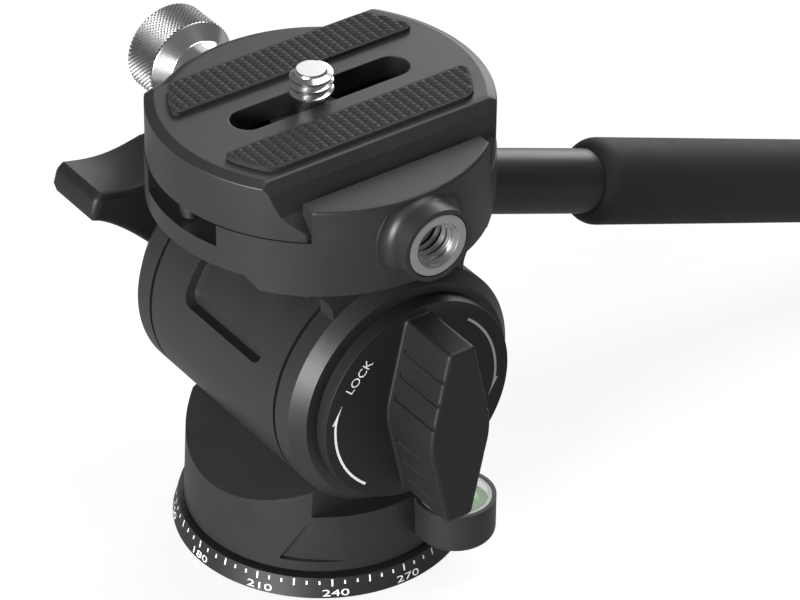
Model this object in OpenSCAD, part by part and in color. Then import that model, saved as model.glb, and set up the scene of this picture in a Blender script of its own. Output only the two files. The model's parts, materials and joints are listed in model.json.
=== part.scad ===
// Fluid video head: a panning base, a tilting yoke with a dovetail clamp, and a pan handle.
// Origin on the pan axis at the underside of the base, +Z up, +Y towards the handle,
// +X towards the lock knob. All sizes in millimetres.

/* [Base] */
// Radius of the scale ring at its underside
ring_r = 21.7; // [21:0.1:24]
// Radius of the scale ring at its top edge
ring_top_r = 20.9; // [20.4:0.1:21]
// Height of the scale ring
ring_h = 3; // [2.6:0.1:4]
// Radius of the tapped tripod hole, 3/8 inch thread core
tripod_hole_r = 4; // [3.9:0.05:4.2]
// Wall of the tripod socket
socket_wall = 1.6; // [1.2:0.1:2]
// Height of the tripod socket
socket_h = 9.5; // [7:0.5:10]
// Radius of the pan spindle where it carries the housing
spindle_r = 8; // [7.6:0.1:8.4]
// Radius of the threaded end of the spindle
spindle_thread_r = 6; // [5.8:0.1:6.4]
// Width of the tripod socket's lip
socket_lip = 1.9; // [1.6:0.1:2.2]
// Thickness of the thrust washer under the pan housing
thrust_t = 0.6; // [0.4:0.1:1]
// Length of the pan bush
bush_len = 5; // [4.6:0.1:5.4]
// Wall of the pan bush
bush_wall = 1.45; // [1.2:0.05:1.6]

/* [Pan housing] */
// Radius of the pan housing
pan_r = 20; // [19.5:0.1:20.3]
// Taper of the pan housing's wall, on the radius, from its foot to the tilt axis
pan_draft = 1.1; // [0.8:0.1:1.4]
// Height of the roof's eaves above the base plane
eave_z = 13; // [12.6:0.1:13.6]
// Rise of the roof per millimetre towards the middle
roof_slope = 0.54; // [0.5:0.01:0.6]
// Depth of the grip panel sunk into the wall
panel_depth = 0.85; // [0.5:0.05:1]
// Height of the grip panel
panel_h = 6.2; // [5:0.1:7]

/* [Spirit level] */
// Distance of the level's centre from the pan axis
level_reach = 23.4; // [22:0.1:25]
// Direction of the level, degrees from +X towards +Y
level_dir = 21; // [15:1:28]
// Outer radius of the level's boss
level_r = 5.9; // [5.4:0.1:6.4]
// Height of the boss
level_h = 6.6; // [6:0.1:7]
// Wall of the boss
level_wall = 0.6; // [0.5:0.05:0.9]

/* [Tilt housing] */
// Height of the tilt axis above the base plane
tilt_z = 33.75; // [33.5:0.05:34.5]
// Radius of the tilt housing and of the cheeks
drum_r = 18.7; // [18.2:0.1:19]
// Half of the tilt housing's length
drum_half = 15.4; // [14.8:0.1:15.8]
// Depth of the sunk front face of the tilt housing
pocket_depth = 1.5; // [0.8:0.1:2]
// Radius of the tilt shaft
shaft_r = 4; // [3.5:0.1:4.5]
// Depth of the friction recess in each end
recess_depth = 5; // [4.5:0.1:5.5]
// Wall of the tilt housing around the friction recess
recess_wall = 4.9; // [4.5:0.1:5.5]
// Left margin of the sunk front face
pocket_edge_left = 7.2; // [6.6:0.1:7.8]
// Right margin of the sunk front face
pocket_edge_right = 4.6; // [4.2:0.1:5]
// Length of the tilt shaft past the lock knob's seat
shaft_over = 6; // [5.5:0.1:6.4]

/* [Yoke] */
// Gap between the tilt housing and each cheek
cheek_gap = 0.6; // [0.4:0.1:0.9]
// Straight part of a cheek's thickness
cheek_t = 3.1; // [2.8:0.1:4]
// Thickness of a cheek's bevel
bevel_t = 2.1; // [1.6:0.1:2.4]
// Radial width of a cheek's bevel
bevel_w = 1.7; // [1.2:0.1:2]
// Thickness of the flange under the clamp
flange_t = 2.2; // [1.8:0.1:2.4]
// Half width of the webs at the cheeks
web_half = 11; // [10:0.5:12]

/* [Clamp] */
// Radius of the clamp and of the plate's round ends
clamp_r = 24.6; // [24.2:0.1:25]
// Height of the clamp's underside
clamp_z = 56.75; // [56.5:0.05:57.5]
// Thickness of the clamp's floor
floor_t = 6.65; // [6.4:0.05:7]
// Height of the jaws above the floor
jaw_h = 5.2; // [4.8:0.1:5.4]
// Wall of the clamp outside the dovetail's foot
jaw_wall = 5.6; // [5.4:0.1:6]
// Length cut off each end of the jaws
jaw_end = 9.8; // [9.2:0.1:10.4]
// Depth of the movable jaw's foot, from the clamp's round
jaw_foot = 12.1; // [11.5:0.1:12.6]
// Depth of the jaw's guide pins, from the clamp's round
pin_depth = 13.6; // [13:0.1:14]
// Overhang of the jaws over the dovetail
jaw_over = 2; // [1.8:0.1:2.2]
// Depth of the stop notches in the floor
notch_depth = 3.4; // [3:0.1:3.6]
// Half width of the stop notches
notch_half = 8.5; // [6:0.5:9]
// Length of the stop notches behind the stop screws
notch_back = 4.5; // [4:0.1:5]
// Height of the accessory boss above the clamp's underside
boss_rise = 5.45; // [5.3:0.05:5.6]
// Radius of the accessory boss
boss_r = 5.5; // [5.3:0.1:5.7]
// Reach of the accessory boss out of the clamp's wall
boss_out = 3.6; // [3.2:0.1:4.2]
// Core radius of the tapped accessory hole, 1/4 inch thread
accessory_hole_r = 2.65; // [2.5:0.05:2.8]

/* [Clamp knob] */
// Height of the clamp knob's axis above the clamp's underside
clamp_knob_rise = 2.75; // [2.5:0.05:3]
// Radius of the knurled head
clamp_knob_r = 7; // [6:0.1:7.2]
// Radius of the polished neck
neck_r = 4.7; // [4:0.1:5]
// Length of the polished neck
neck_len = 6.2; // [5:0.1:8]
// Length of the cone behind the head
cone_len = 1.9; // [1.2:0.1:2.5]
// Length of the knurled head
knurl_len = 6.6; // [5:0.1:9]
// Radius of the drawbar
drawbar_r = 2; // [1.6:0.1:2.1]

/* [Quick release plate] */
// Height of the foot's upright lip
lip_h = 1.3; // [1:0.1:1.6]
// Step from the dovetail's foot in to the plate's neck
neck_in = 2.4; // [2.2:0.1:2.6]
// Lean of the plate's side wall
side_in = 1.15; // [1:0.05:1.4]
// Rounding of the plate's long top edges
top_round = 2; // [1.6:0.1:2.2]
// Height of the plate
plate_h = 8.6; // [8.2:0.1:9.4]
// Width of the top chamfer on the round ends
chamfer_w = 1.35; // [0.8:0.05:2]
// Height of the top chamfer on the round ends
chamfer_h = 0.7; // [0.4:0.1:1]
// Half width of the screw slot
slot_half = 2.6; // [2.45:0.05:3]
// Distance from each end of the screw slot to the plate's round
slot_end = 10; // [9:0.1:11]
// Inner edge of the rubber pads
pad_in = 6; // [5.5:0.1:6.5]
// Margin of the rubber pads to the plate's rounded edge
pad_edge = 0.3; // [0.2:0.05:0.6]
// Height of the rubber pads above the plate
pad_h = 0.9; // [0.6:0.1:1.2]
// Distance of the stop screws from the clamp's round
stop_edge = 3.1; // [2.8:0.1:3.4]

/* [Camera screw] */
// Radius of the camera screw, 1/4 inch thread
screw_r = 3.1; // [3:0.05:3.2]
// Height of the camera screw above the plate
screw_h = 4.5; // [4:0.1:6.5]
// Rest place of the camera screw along the slot
screw_y = -1.5; // [-10:0.5:10]
// Gap between the plate and the start of the thread
thread_gap = 0.5; // [0.4:0.1:1.2]
// Radius of the screw's neck in the slot
screw_neck_r = 2.3; // [2:0.05:2.4]
// Radius of the screw's head under the plate
screw_head_r = 5.8; // [5:0.1:6]

/* [Lock knob] */
// Radius of the lock knob
lock_r = 15.65; // [15:0.05:16.5]
// Thickness of the lock knob's disc
lock_t = 2.3; // [2:0.1:3]
// Chamfer of the disc's rim
lock_edge = 0.2; // [0.1:0.05:0.5]
// Height of the wing above the disc
wing_h = 10.4; // [8:0.1:12]
// Half length of the wing's outer face
wing_half = 14.2; // [12:0.1:14.5]
// Half width of the wing at its ends
wing_end = 2.2; // [1.5:0.1:2.5]
// Half width of the wing at its middle
wing_mid = 5; // [4.5:0.1:6]
// Wall of the wing beside its nut
nut_wall = 0.4; // [0.3:0.05:0.6]

/* [Drag lever] */
// Radius of the drag lever's hub
lever_hub_r = 13; // [11:0.1:14]
// Height of the lever's top above the tilt axis
lever_top = 16.6; // [15.8:0.1:16.8]
// Radius of the round boss in the middle of the lever
lever_boss_r = 7.2; // [6.9:0.1:7.6]
// Reach of the lever's tip from the tilt axis
lever_reach = 23.5; // [21:0.1:25]
// Height of the lever's tip
lever_tip_h = 4.1; // [3.6:0.1:5]
// Thickness of the lever's hub
lever_hub_t = 1.4; // [1:0.1:2]
// Width of the lever's arm along the tilt axis
lever_w = 11; // [9:0.5:12]

/* [Handle] */
// Height at which the handle's line would cross the pan axis
handle_z = 57.3; // [57:0.1:57.6]
// Pitch of the handle below the horizontal, degrees
handle_pitch = 20.7; // [20:0.1:21.5]
// Distance along the handle at which the rod starts, in the yoke's boss
rod_start = 17.5; // [16.5:0.1:18.5]
// Radius of the handle's rod
rod_r = 4.8; // [4.4:0.05:5]
// Distance along the handle at which the grip starts
grip_start = 49.9; // [48:0.1:58]
// Length of the grip
grip_len = 85; // [60:1:88]
// Radius of the grip at its front
grip_r = 6.46; // [6:0.02:7]
// Radius of the grip at its end
grip_end_r = 6.25; // [5.8:0.05:6.9]
// Radius of the handle's boss on the yoke
handle_boss_r = 7; // [6.6:0.1:7.2]
// Distance along the handle at which the boss ends
handle_boss_end = 27; // [25:0.5:29]
// Distance of the set screw from the boss's end
set_screw_in = 3.5; // [3:0.1:4]

/* [Clearances] */
// Radial running clearance of shafts and bushes
run = 0.05; // [0.03:0.01:0.08]
// Clearance between parts that pass each other
clear = 0.3; // [0.2:0.05:0.4]

/* [Hidden] */
$fn = 96;
fine = 32;
over = 1;

black = [0.09, 0.09, 0.10];
dark = [0.06, 0.06, 0.06];
steel = [0.75, 0.75, 0.76];
brass = [0.72, 0.58, 0.30];

// Heights along the pan axis
socket_r = tripod_hole_r + socket_wall;
socket_flange_r = socket_r + socket_lip;
ring_floor = 1.2;
spindle_flange_r = 11;
pan_z = ring_h + thrust_t;
bush_top = pan_z + bush_len;
bush_r = spindle_r + run + bush_wall;
well_r = bush_r + run;
disc_t = 1;
spring_t = 1;
nut_h = 1.6;
nut_z = bush_top + disc_t + spring_t;
spindle_top = nut_z + nut_h;
ring_screw_ring = 9.4;
ring_screw_r = 0.9;
ring_screw_head_r = 1.4;
ring_screw_head_h = 0.7;
housing_screw_x = 10.5;
housing_screw_y = 7.5;
housing_screw_r = 1.25;
housing_screw_head_r = 2.2;
housing_screw_head_z = 4.6;
housing_screw_head_h = 2;
housing_screw_seat = housing_screw_head_z + housing_screw_head_h;
housing_screw_top = tilt_z - drum_r + 5.7;

// Places along the tilt axis
drum_clear = drum_r + 0.6;
cheek_x = drum_half + cheek_gap;
bevel_x = cheek_x + cheek_t;
cheek_out = bevel_x + bevel_t;
washer_t = 0.4;
knob_x = cheek_out + washer_t;
bush_flange = 1.6;
bush_out_r = shaft_r + run + bush_flange;
recess_r = drum_r - recess_wall;
recess_floor = drum_half - recess_depth;
pocket_left = pocket_edge_left - drum_half;
pocket_right = drum_half - pocket_edge_right;
plate_t = 1.5;
plate_x = recess_floor + plate_t;
friction_x = plate_x + plate_t;
shaft_right = knob_x + shaft_over;
shaft_left = knob_x + shaft_over - 1;
nut_r = wing_mid - nut_wall;
shaft_end_r = shaft_r - 1;

// Heights of the clamp and the plate
floor_z = clamp_z + floor_t;
jaw_z = floor_z + jaw_h;
plate_z = floor_z + plate_h;
flange_r = clamp_r - 0.3;
flange_z = clamp_z - flange_t;
slope_z = floor_z + lip_h;
foot_half = clamp_r - jaw_wall;
channel_half = foot_half + clear;
jaw_half = clamp_r - jaw_end;
jaw_edge = channel_half - jaw_over;
neck_half = foot_half - neck_in;
side_half = neck_half - side_in;
top_half = side_half - top_round;
pad_out = top_half - pad_edge;
plate_r = clamp_r - 0.15;
stop_y = clamp_r - stop_edge;
notch_in = stop_y - notch_back;
slot_reach = clamp_r - slot_end;
boss_reach = clamp_r + boss_out;
jaw_slope_z = slope_z + channel_half - jaw_edge;
neck_z = slope_z + foot_half - neck_half;
boss_z = clamp_z + boss_rise;
clamp_knob_z = clamp_z + clamp_knob_rise;
clamp_edge = 0.6;
jaw_round = 2.6;
jaw_split = clamp_r - jaw_foot;
saddle_z = floor_z - 1.2;
tongue_x = foot_half;
tongue_half = 8;
accessory_out_r = boss_r - 0.7;
accessory_in = foot_half + 2;
drawbar_in = 4;
pin_y = 5.5;
pin_r = 1;
pin_in = pin_depth - clamp_r;
pin_out = -clamp_r + 1.5;
clamp_screw_x = cheek_x + 1.2;
clamp_screw_y = web_half - 1.5;
clamp_screw_r = 1.1;
clamp_screw_head_r = 2;
clamp_screw_head_h = 1.8;
clamp_screw_head_z = saddle_z - clear - clamp_screw_head_h - 0.3;
clamp_screw_len = 7;

// Spirit level, measured from the floor of its boss
level_top = eave_z - 0.5;
level_floor = 2.6;
level_z = level_top - level_h;
level_bore = level_r - level_wall;
cup_r = level_bore - run;
cup_wall = 0.45;
cup_h = level_h - level_floor - 0.1;
vial_r = cup_r - cup_wall - run;
fluid_h = cup_h - 1.7;
bubble_r = 1.4;

// Screw well and stop screws of the plate
plate_roof = 3.5;
under_roof = plate_z - plate_roof;
well_half = screw_head_r + clear;
well_reach = slot_reach + 3;
screw_washer_h = 1.2;
screw_head_h = 3;
stop_r = 1.5;
stop_in = 3;
stop_head_r = 1.8;
stop_head_h = notch_depth - 0.4;

// Nuts in the lock knob and the drag lever
lock_nut_t = shaft_over * 0.75;
lever_nut_t = shaft_over / 2;

// Handle, measured along its line from the pan axis
boss_start = rod_start - 5.5;
set_screw_along = handle_boss_end - set_screw_in;
rod_end = grip_start + grip_len - 3;

// Puts children on the tilt axis, their +Z along +X
module on_tilt_axis(x = 0) {
    translate([x, 0, tilt_z]) rotate([0, 90, 0]) children();
}

// Tube along Z between two heights
module tube(r_out, r_in, z_low, z_high) {
    difference() {
        translate([0, 0, z_low]) cylinder(r = r_out, h = z_high - z_low);
        translate([0, 0, z_low - over]) cylinder(r = r_in, h = z_high - z_low + 2 * over);
    }
}

// Tube on the tilt axis between two places
module tilt_tube(r_out, r_in, x_low, x_high) {
    on_tilt_axis() tube(r_out, r_in, x_low, x_high);
}

// Rod along X at a height, between two places
module x_rod(r, x_low, x_high, y, z) {
    translate([x_low, y, z]) rotate([0, 90, 0]) cylinder(r = r, h = x_high - x_low);
}

// Outline in the YZ plane drawn out along X
module along_x(x_low, x_high) {
    translate([x_low, 0, 0]) rotate([90, 0, 90]) linear_extrude(x_high - x_low) children();
}

// Outline in the XZ plane drawn out along Y, centred
module along_y(length) {
    translate([0, length / 2, 0]) rotate([90, 0, 0]) linear_extrude(length) children();
}

// Puts children on the handle's line, their +Z along it
module on_handle() {
    translate([0, 0, handle_z]) rotate([-(90 + handle_pitch), 0, 0]) children();
}

// Both signs of X
module both_x() {
    children();
    mirror([1, 0, 0]) children();
}

// Both signs of Y
module both_y() {
    children();
    mirror([0, 1, 0]) children();
}

// Places of the screws under the scale ring
module ring_screw_places() {
    for (turn = [30, 150, 270]) rotate(turn) translate([ring_screw_ring, 0, 0]) children();
}

// Places of the screws that hold the tilt housing
module housing_screw_places() {
    for (x = [-1, 1], y = [-1, 1]) {
        translate([x * housing_screw_x, y * housing_screw_y, 0]) children();
    }
}

// Places of the screws that hold the clamp on the yoke
module clamp_screw_places() {
    for (x = [-1, 1], y = [-1, 1]) {
        translate([x * clamp_screw_x, y * clamp_screw_y, 0]) children();
    }
}

module scale_ring() {
    color(black) difference() {
        rotate_extrude() polygon([[0, 0], [ring_r, 0], [ring_top_r, ring_h], [0, ring_h]]);
        translate([0, 0, -over]) cylinder(r = socket_flange_r + run, h = ring_h + 2 * over);
        translate([0, 0, ring_floor]) cylinder(r = spindle_flange_r + run, h = ring_h);
        ring_screw_places() {
            translate([0, 0, -over]) cylinder(r = ring_screw_r + run, h = ring_h, $fn = fine);
            translate([0, 0, -over])
                cylinder(r = ring_screw_head_r + run, h = over + ring_screw_head_h, $fn = fine);
        }
    }
}

module tripod_socket() {
    color(steel) difference() {
        union() {
            cylinder(r = socket_r, h = socket_h);
            cylinder(r = socket_flange_r, h = ring_floor);
        }
        translate([0, 0, -over]) cylinder(r = tripod_hole_r, h = socket_h + 2 * over);
    }
}

module pan_spindle() {
    color(steel) difference() {
        union() {
            translate([0, 0, ring_floor]) cylinder(r = spindle_flange_r, h = ring_h - ring_floor);
            translate([0, 0, ring_floor]) cylinder(r = spindle_r, h = bush_top - ring_floor);
            translate([0, 0, ring_floor]) cylinder(r = spindle_thread_r, h = spindle_top - ring_floor);
        }
        cylinder(r = socket_r + run, h = socket_h + run);
        ring_screw_places() cylinder(r = ring_screw_r + run, h = ring_h - 0.4, $fn = fine);
    }
}

module spindle_screws() {
    color(steel) ring_screw_places() {
        cylinder(r = ring_screw_r, h = ring_h - 0.6, $fn = fine);
        cylinder(r = ring_screw_head_r, h = ring_screw_head_h - run, $fn = fine);
    }
}

module thrust_washer() {
    color(dark) tube(pan_r - 1.2, spindle_flange_r + 0.5, ring_h, pan_z);
}

module pan_nut() {
    color(steel) difference() {
        translate([0, 0, nut_z]) cylinder(r = bush_r - 0.2, h = nut_h, $fn = 6);
        translate([0, 0, nut_z - over]) cylinder(r = spindle_thread_r + run, h = nut_h + 2 * over);
    }
}

// Roof outline of the pan housing, across Y
module roof_outline() {
    ridge_z = eave_z + roof_slope * pan_r;
    polygon([
        [-pan_r - over, pan_z], [pan_r + over, pan_z], [pan_r + over, eave_z - roof_slope * over],
        [0, ridge_z], [-pan_r - over, eave_z - roof_slope * over]
    ]);
}

// Boss of the spirit level, with a rounded lower edge
module level_boss() {
    edge = 1.2;
    translate([level_reach, 0, level_z]) rotate_extrude() union() {
        square([level_r - edge, level_h]);
        translate([0, edge]) square([level_r, level_h - edge]);
        translate([level_r - edge, edge]) circle(r = edge, $fn = fine);
    }
}

module pan_housing() {
    color(black) difference() {
        union() {
            intersection() {
                translate([0, 0, pan_z]) cylinder(r1 = pan_r, r2 = pan_r - pan_draft, h = tilt_z - pan_z);
                along_x(-pan_r - over, pan_r + over) roof_outline();
            }
            rotate(level_dir) {
                level_boss();
                translate([pan_r - 3, -level_r * 0.72, level_z])
                    cube([level_reach - pan_r + 3, level_r * 1.44, level_h]);
            }
        }
        on_tilt_axis(-drum_half - over) cylinder(r = drum_r + run, h = 2 * (drum_half + over));
        both_x() translate([drum_half, -pan_r - over, eave_z])
            cube([pan_r, 2 * (pan_r + over), tilt_z]);
        translate([0, 0, pan_z - over]) cylinder(r = well_r, h = tilt_z);
        housing_screw_places() {
            translate([0, 0, pan_z - over]) cylinder(r = housing_screw_r + run, h = tilt_z, $fn = fine);
            translate([0, 0, pan_z - over])
                cylinder(r = housing_screw_head_r + run, h = housing_screw_seat - pan_z + over, $fn = fine);
        }
        at_level() cylinder(r = level_bore, h = level_h);
        panel_cut();
    }
}

// Shallow panel sunk into the housing's wall on the lock knob's side
module panel_cut() {
    panel_dir = -52;
    panel_shift = 9.3;
    panel_lean = 31.5;
    panel_z = pan_z + 1.6;
    rotate(panel_dir) intersection() {
        difference() {
            translate([0, 0, panel_z]) cylinder(r = pan_r + over, h = panel_h);
            translate([-panel_shift, 0, pan_z])
                cylinder(r = pan_r - panel_depth + panel_shift, h = tilt_z - pan_z);
        }
        translate([pan_r / 2, 0, panel_z]) rotate([-panel_lean, 0, 0])
            translate([0, 0, -pan_r]) cube([pan_r, pan_r, 2 * pan_r]);
    }
}

module pan_bush() {
    color(brass) tube(bush_r, spindle_r + run, pan_z, bush_top);
}

module pan_friction_disc() {
    color(dark) tube(bush_r - 0.1, spindle_thread_r + 0.1, bush_top, bush_top + disc_t);
}

module pan_disc_spring() {
    thin = spring_t / 2;
    color(steel) translate([0, 0, bush_top + disc_t]) rotate_extrude() polygon([
        [bush_r - 0.3, 0], [bush_r - 0.3, thin],
        [spindle_thread_r + 0.2, spring_t], [spindle_thread_r + 0.2, thin]
    ]);
}

module housing_screws() {
    color(steel) housing_screw_places() {
        translate([0, 0, housing_screw_head_z])
            cylinder(r = housing_screw_r, h = housing_screw_top - housing_screw_head_z, $fn = fine);
        translate([0, 0, housing_screw_head_z])
            cylinder(r = housing_screw_head_r, h = housing_screw_head_h, $fn = fine);
    }
}

// Puts children at the level's centre, at the floor of its boss
module at_level() {
    rotate(level_dir) translate([level_reach, 0, level_z + level_floor]) children();
}

module level_cup() {
    color("lightgray") at_level() difference() {
        cylinder(r = cup_r, h = cup_h);
        translate([0, 0, cup_wall]) cylinder(r = cup_r - cup_wall, h = cup_h);
    }
}

module level_fluid() {
    color("palegreen") at_level() difference() {
        translate([0, 0, cup_wall]) cylinder(r = vial_r, h = fluid_h);
        translate([0, 0, cup_wall + fluid_h / 2]) cylinder(r = bubble_r + run, h = fluid_h);
    }
}

module level_bubble() {
    color("honeydew") at_level() translate([0, 0, cup_wall + fluid_h / 2])
        cylinder(r = bubble_r, h = fluid_h / 2);
}

module level_lens() {
    color("whitesmoke") at_level() translate([0, 0, cup_wall + fluid_h])
        cylinder(r = vial_r, h = cup_h - cup_wall - fluid_h);
}

// Outline of the sunk front face, across X, with rounded lower corners
module pocket_outline() {
    pocket_z = tilt_z + 5.2;
    corner = 1.7;
    translate([pocket_left + corner, pocket_z]) square([pocket_right - pocket_left - 2 * corner, drum_r]);
    translate([pocket_left, pocket_z + corner]) square([pocket_right - pocket_left, drum_r]);
    for (x = [pocket_left + corner, pocket_right - corner])
        translate([x, pocket_z + corner]) circle(r = corner, $fn = fine);
}

module tilt_housing() {
    color(black) difference() {
        on_tilt_axis(-drum_half) cylinder(r = drum_r, h = 2 * drum_half);
        on_tilt_axis(-drum_half - over) cylinder(r = shaft_r + run, h = 2 * (drum_half + over));
        both_x() on_tilt_axis(recess_floor) cylinder(r = recess_r, h = recess_depth + over);
        housing_screw_places() cylinder(r = housing_screw_r + run, h = housing_screw_top + 0.4, $fn = fine);
        intersection() {
            tilt_tube(drum_r + over, drum_r - pocket_depth, pocket_left - over, pocket_right + over);
            translate([0, -drum_r, 0]) along_y(2 * drum_r) pocket_outline();
        }
    }
}

module tilt_shaft() {
    color(steel) {
        on_tilt_axis(-knob_x) cylinder(r = shaft_r, h = 2 * knob_x);
        on_tilt_axis(-shaft_left) cylinder(r = shaft_end_r, h = shaft_left + shaft_right);
    }
}

module tilt_disc_springs() {
    thin = plate_t / 2;
    color(steel) both_x() on_tilt_axis(recess_floor) rotate_extrude() polygon([
        [recess_r - 2, 0], [recess_r - 2, thin], [shaft_r + 1, plate_t], [shaft_r + 1, thin]
    ]);
}

module pressure_plates() {
    color(steel) both_x() tilt_tube(recess_r - 0.2, shaft_r + 0.2, plate_x, friction_x);
}

module friction_discs() {
    color(dark) both_x() tilt_tube(recess_r - 0.2, bush_out_r + 0.4, friction_x, cheek_x);
}

// One cheek disc with its outer bevel
module cheek() {
    on_tilt_axis(cheek_x) rotate_extrude() polygon([
        [0, 0], [drum_r, 0], [drum_r, cheek_t],
        [drum_r - bevel_w, cheek_t + bevel_t], [0, cheek_t + bevel_t]
    ]);
}

// Outline of a web between a cheek and the flange, flaring to the flange
module web_outline() {
    flare = web_half / 2;
    difference() {
        translate([-web_half - flare, tilt_z]) square([2 * (web_half + flare), flange_z - tilt_z]);
        for (side = [-1, 1]) translate([side * (web_half + flare), flange_z - flare]) {
            circle(r = flare);
            translate([-flare, tilt_z - flange_z]) square([2 * flare, flange_z - tilt_z]);
        }
    }
}

module yoke() {
    bridge_low = cheek_x - 1;
    bridge_high = web_half;
    bridge_y = web_half;
    color(black) difference() {
        union() {
            both_x() {
                cheek();
                intersection() {
                    along_x(cheek_x, bevel_x) web_outline();
                    cylinder(r = flange_r, h = clamp_z);
                }
            }
            difference() {
                translate([0, 0, flange_z]) cylinder(r = flange_r, h = flange_t);
                translate([0, -bridge_y - flange_r / 2, 0]) along_y(flange_r) polygon([
                    [-bridge_low, flange_z - over], [bridge_low, flange_z - over],
                    [bridge_high, clamp_z + over], [-bridge_high, clamp_z + over]
                ]);
            }
            intersection() {
                on_handle() translate([0, 0, boss_start])
                    cylinder(r = handle_boss_r, h = handle_boss_end - boss_start);
                cylinder(r = flange_r, h = clamp_z);
            }
        }
        on_tilt_axis(-cheek_x) cylinder(r = drum_clear, h = 2 * cheek_x);
        on_tilt_axis(-cheek_out - over) cylinder(r = bush_out_r + run, h = 2 * (cheek_out + over));
        on_handle() translate([0, 0, rod_start]) cylinder(r = rod_r + run, h = handle_boss_end);
        clamp_screw_places() clamp_screw_shank(run);
        set_screw_hole();
    }
}

// Shank of one clamp screw, from under its head down into the web
module clamp_screw_shank(gap) {
    translate([0, 0, clamp_screw_head_z - clamp_screw_len - gap])
        cylinder(r = clamp_screw_r + gap, h = clamp_screw_len + 2 * gap, $fn = fine);
}

// Hole of the handle's set screw, square to the handle, from below
module set_screw_hole() {
    on_handle() translate([0, 0, set_screw_along]) rotate([-90, 0, 0])
        cylinder(r = 1.5 + run, h = handle_boss_r + over, $fn = fine);
}

module tilt_bushes() {
    color(brass) both_x() tilt_tube(bush_out_r, shaft_r + run, cheek_x, cheek_out);
}

module cheek_washers() {
    color(steel) both_x() tilt_tube(bush_out_r + 4, shaft_r + run, cheek_out, knob_x);
}

// Half of the dovetail channel, outline across X: floor, lip, sloped overhang
module channel_outline() {
    polygon([
        [-over, floor_z], [channel_half, floor_z], [channel_half, slope_z],
        [jaw_edge, jaw_slope_z], [jaw_edge, jaw_z + over], [-over, jaw_z + over]
    ]);
}

// Solid of the clamp's round, with both jaws and the ends of the jaws cut off
module clamp_round(edge) {
    difference() {
        translate([0, 0, clamp_z]) rotate_extrude() difference() {
            square([clamp_r, jaw_z - clamp_z]);
            translate([clamp_r - edge, jaw_z - clamp_z - edge]) difference() {
                square(edge + over);
                circle(r = edge, $fn = fine);
            }
        }
        both_y() translate([-clamp_r - over, jaw_half, floor_z])
            cube([2 * (clamp_r + over), clamp_r, jaw_h + over]);
    }
}

// Space that the movable jaw leaves in the clamp
module jaw_space(gap) {
    translate([-clamp_r - over, -jaw_half - gap, saddle_z - gap])
        cube([clamp_r + over - jaw_split + gap, 2 * (jaw_half + gap), jaw_h + clamp_r]);
    translate([-clamp_r - over, -tongue_half - gap, clamp_z - over])
        cube([clamp_r + over - tongue_x + gap, 2 * (tongue_half + gap), clamp_r]);
}

// Boss of the accessory bush, running into the clamp's wall with a cove
module accessory_boss() {
    cove = 1.7;
    foot_x = clamp_r - clamp_edge;
    intersection() {
        translate([0, 0, boss_z]) rotate([0, 90, 0]) rotate_extrude() difference() {
            translate([0, accessory_in]) square([boss_r + cove, boss_reach - accessory_in]);
            translate([boss_r + cove, foot_x + cove]) circle(r = cove);
            translate([boss_r, foot_x + cove]) square([cove + over, boss_reach]);
        }
        translate([0, -clamp_r, clamp_z]) cube([2 * boss_reach, 2 * clamp_r, jaw_z - clamp_z]);
    }
}

module clamp_base() {
    color(black) difference() {
        union() {
            clamp_round(clamp_edge);
            accessory_boss();
        }
        both_x() along_y(4 * clamp_r) channel_outline();
        jaw_space(clear);
        both_y() translate([-notch_half, notch_in, floor_z - notch_depth])
            cube([2 * notch_half, clamp_r, jaw_h + notch_depth]);
        x_rod(accessory_out_r + run, accessory_in, boss_reach + over, 0, boss_z);
        x_rod(drawbar_r + run, -clamp_r, drawbar_in + over, 0, clamp_knob_z);
        for (y = [-pin_y, pin_y]) x_rod(pin_r + run, -clamp_r, pin_in, y, clamp_knob_z);
        clamp_screw_places() {
            clamp_screw_shank(run);
            translate([0, 0, clamp_screw_head_z])
                cylinder(r = clamp_screw_head_r + run, h = floor_z - clamp_screw_head_z + over, $fn = fine);
        }
    }
}

module accessory_bush() {
    color(steel) difference() {
        x_rod(accessory_out_r, accessory_in, boss_reach, 0, boss_z);
        x_rod(accessory_hole_r, accessory_in - over, boss_reach + over, 0, boss_z);
    }
}

module clamp_screws() {
    color(steel) clamp_screw_places() {
        clamp_screw_shank(0);
        translate([0, 0, clamp_screw_head_z])
            cylinder(r = clamp_screw_head_r, h = clamp_screw_head_h, $fn = fine);
    }
}

module handle_rod() {
    color(black) on_handle() translate([0, 0, rod_start]) cylinder(r = rod_r, h = rod_end - rod_start);
}

module handle_set_screw() {
    color(steel) on_handle() translate([0, 0, set_screw_along]) rotate([-90, 0, 0])
        translate([0, 0, rod_r + run]) cylinder(r = 1.5, h = handle_boss_r - rod_r - 0.4, $fn = fine);
}

module handle_grip() {
    front = 2.6;
    back = 3;
    color(dark) on_handle() translate([0, 0, grip_start]) difference() {
        rotate_extrude() union() {
            polygon([[0, 0], [grip_r - front, 0], [grip_r, front], [grip_end_r, grip_len - back],
                [grip_end_r - back, grip_len], [0, grip_len]]);
            translate([grip_r - front, front]) circle(r = front);
            translate([grip_end_r - back, grip_len - back]) circle(r = back);
        }
        translate([0, 0, -over]) cylinder(r = rod_r + run, h = rod_end - grip_start + over + 0.1);
    }
}

module movable_jaw() {
    color(black) difference() {
        intersection() {
            clamp_round(jaw_round);
            jaw_space(0);
        }
        both_x() along_y(4 * clamp_r) channel_outline();
        x_rod(drawbar_r + run, -clamp_r - over, 0, 0, clamp_knob_z);
        for (y = [-pin_y, pin_y]) x_rod(pin_r + run, pin_out - run, 0, y, clamp_knob_z);
    }
}

module jaw_guide_pins() {
    color(steel) for (y = [-pin_y, pin_y]) x_rod(pin_r, pin_out, pin_in, y, clamp_knob_z);
}

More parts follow.
